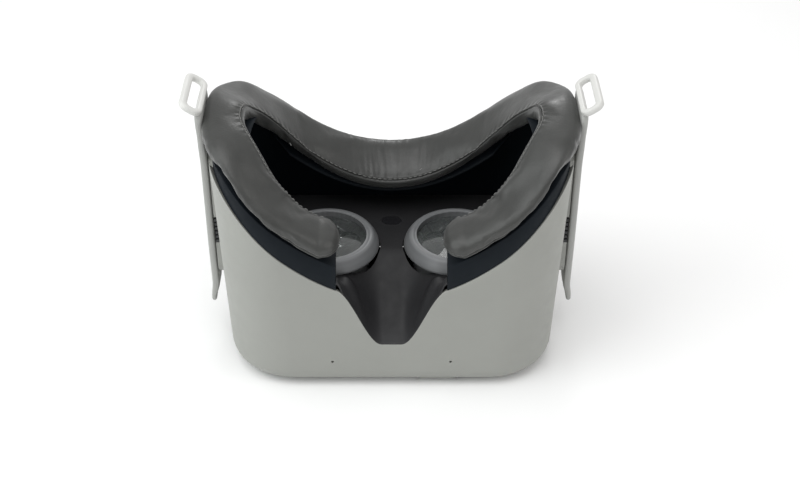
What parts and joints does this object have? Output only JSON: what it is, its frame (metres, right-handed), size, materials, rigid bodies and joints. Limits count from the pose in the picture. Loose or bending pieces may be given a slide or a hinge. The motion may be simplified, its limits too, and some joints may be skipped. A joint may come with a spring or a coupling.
{
  "type": "vr headset",
  "caption": "Stand-alone VR headset with side arms, strap clips, sliding lenses and a padded face interface, lying on its front plate.",
  "frame": {"origin": "middle of the front plate's resting face", "axes": "+X wearer's right, +Y towards the top of the head, +Z from the front plate towards the wearer's face"},
  "size_m": [0.2052, 0.1037, 0.15],
  "materials": {
    "shell": "moulded, fine texture",
    "pale": "moulded, satin",
    "dark": "moulded, fine texture",
    "interface": "moulded, matte",
    "foam": "soft grained polyurethane leather",
    "lens_ring": "satin",
    "lens": "clear, polished, Fresnel grooves",
    "black_gloss": "polished",
    "steel": "brushed",
    "black_steel": "coated",
    "copper": "plain copper",
    "board": "solder mask",
    "magnesium": "cast",
    "polyimide": "flexible circuit",
    "battery_wrap": "film wrap",
    "boot": "ribbed rubber",
    "screen": "coated glass"
  },
  "bodies": {
    "housing": {"front_plate": "shell", "body_shell": "shell", "lens_panel": "dark", "ipd_rods": "black_steel", "ipd_bracket_upper": "dark", "ipd_bracket_lower": "dark", "proximity_window": "black_gloss", "proximity_board": "board", "chassis": "magnesium", "display_bracket": "black_steel", "display_panel": "screen", "battery": "battery_wrap", "battery_strap": "steel", "main_board": "board", "shield_can": "steel", "heat_sink": "magnesium", "heat_pipe": "copper", "fan_housing": "dark", "camera_upper_right": "black_gloss", "camera_upper_left": "black_gloss", "camera_lower_right": "black_gloss", "camera_lower_left": "black_gloss", "camera_glass": "black_gloss", "volume_board": "board", "power_board": "board", "status_light": "pale", "usb_port": "steel", "audio_jack": "black_gloss", "microphones": "steel", "hinge_clip_right": "steel", "hinge_clip_left": "steel", "front_screws": "steel", "panel_screws": "steel", "display_cable": "polyimide", "camera_cables": "polyimide"},
    "interface": {"interface_frame": "interface", "face_foam": "foam"},
    "lens_unit_right": {"lens_carriage_right": "lens_ring", "lens_right": "lens"},
    "lens_unit_left": {"lens_carriage_left": "lens_ring", "lens_left": "lens"},
    "pinion": {"ipd_pinion": "steel"},
    "fan": {"fan_rotor": "dark"},
    "rocker": {"volume_rocker": "shell"},
    "power_key": {"power_button": "pale"},
    "arm_r": {"arm_right": "shell", "arm_cover_right": "shell", "arm_boot_right": "boot", "speaker_right": "black_gloss", "hinge_pin_right": "steel"},
    "arm_l": {"arm_left": "shell", "arm_cover_left": "shell", "arm_boot_left": "boot", "speaker_left": "black_gloss", "hinge_pin_left": "steel"},
    "clip_r": {"strap_clip_right": "pale"},
    "clip_l": {"strap_clip_left": "pale"}
  },
  "joints": [
    {"name": "interface_pull_off", "type": "slide", "parent": "housing", "child": "interface", "axis": [0, 0, 1], "range_m": [0, 0.075]},
    {"name": "lens_right_slide", "type": "slide", "parent": "housing", "child": "lens_unit_right", "axis": [1, 0, 0], "range_m": [-0.005, 0]},
    {"name": "lens_left_slide", "type": "slide", "parent": "housing", "child": "lens_unit_left", "axis": [1, 0, 0], "range_m": [0, 0.005]},
    {"name": "pinion_turn", "type": "hinge", "parent": "housing", "child": "pinion", "pos_m": [0, 0.0332, 0.0415], "axis": [0, 0, 1], "range_deg": [-5, 85]},
    {"name": "fan_spin", "type": "hinge", "parent": "housing", "child": "fan", "pos_m": [-0.026, 0.01, 0.008], "axis": [0, 0, 1], "continuous": true},
    {"name": "volume_rock", "type": "hinge", "parent": "housing", "child": "rocker", "pos_m": [0.024, -0.04353, 0.00454], "axis": [0, -0.829, 0.5592], "range_deg": [-2.5, 2.5], "stiffness_Nm_per_rad": 0.4},
    {"name": "power_press", "type": "slide", "parent": "housing", "child": "power_key", "axis": [-1, 0, 0], "range_m": [0, 0.0006], "stiffness_N_per_m": 900},
    {"name": "arm_right_tilt", "type": "hinge", "parent": "housing", "child": "arm_r", "pos_m": [0.0869, 0, 0.048], "axis": [1, 0, 0], "range_deg": [-12, 12]},
    {"name": "arm_left_tilt", "type": "hinge", "parent": "housing", "child": "arm_l", "pos_m": [-0.0869, 0, 0.048], "axis": [1, 0, 0], "range_deg": [-12, 12]},
    {"name": "clip_right_pull_off", "type": "slide", "parent": "arm_r", "child": "clip_r", "axis": [1, 0, 0], "range_m": [0, 0.012]},
    {"name": "clip_left_pull_off", "type": "slide", "parent": "arm_l", "child": "clip_l", "axis": [-1, 0, 0], "range_m": [0, 0.012]}
  ],
  "couplings": [
    {"joint": "lens_left_slide", "follows": "lens_right_slide", "ratio": -1},
    {"joint": "pinion_turn", "follows": "lens_right_slide", "rad_per_m": -277.78}
  ]
}
